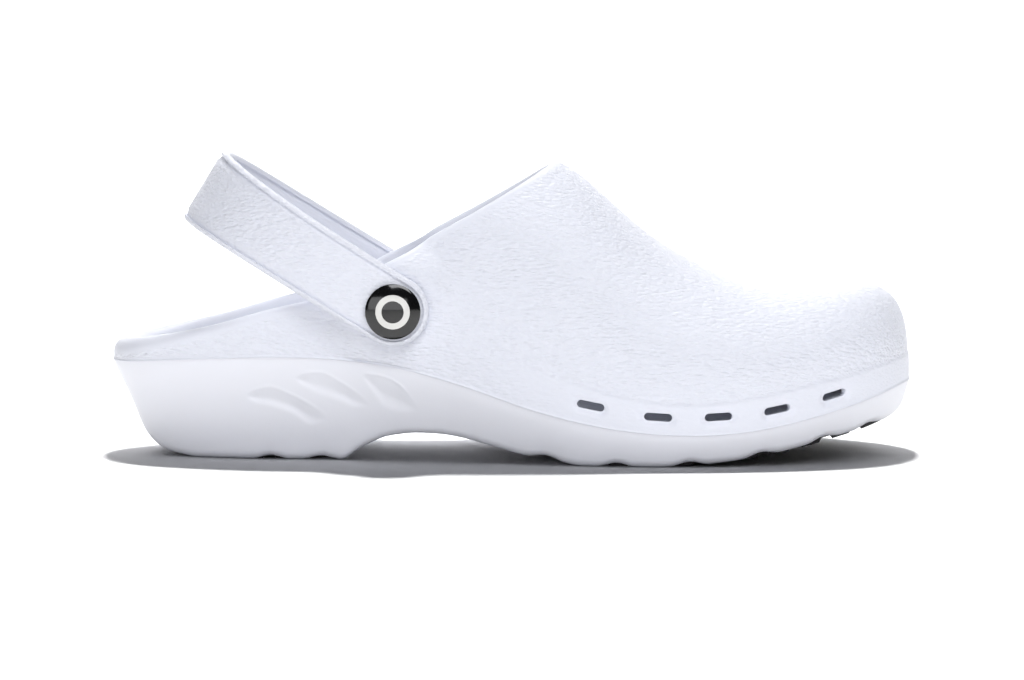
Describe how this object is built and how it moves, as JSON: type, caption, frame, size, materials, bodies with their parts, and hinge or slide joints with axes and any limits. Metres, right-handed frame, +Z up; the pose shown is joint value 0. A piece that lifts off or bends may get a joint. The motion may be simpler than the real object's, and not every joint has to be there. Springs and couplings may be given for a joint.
{
  "type": "foam clog",
  "caption": "Moulded foam clog for the right foot, closed toe and open heel, with a swivelling heel strap on domed rivets and a row of side vents.",
  "frame": {"origin": "bottom centre of the bounding box, on the floor that the sole stands on", "axes": "+X along the shoe towards the toe, +Y to the inner side of the foot, +Z up"},
  "size_m": [0.285, 0.1004, 0.1073],
  "materials": {
    "upper_foam": "pebbled foam",
    "sole_foam": "smooth satin foam",
    "footbed_foam": "matte foam",
    "tread_rubber": "matte rubber",
    "rivet_plastic": "polished"
  },
  "bodies": {
    "root": {"upper": "upper_foam", "sole": "sole_foam", "insole": "footbed_foam", "heel_strap": "upper_foam", "forefoot_tread": "tread_rubber", "heel_tread": "tread_rubber", "rivet_cap_outer": "rivet_plastic", "rivet_cap_inner": "rivet_plastic", "rivet_base_outer": "rivet_plastic", "rivet_base_inner": "rivet_plastic"}
  },
  "joints": []
}
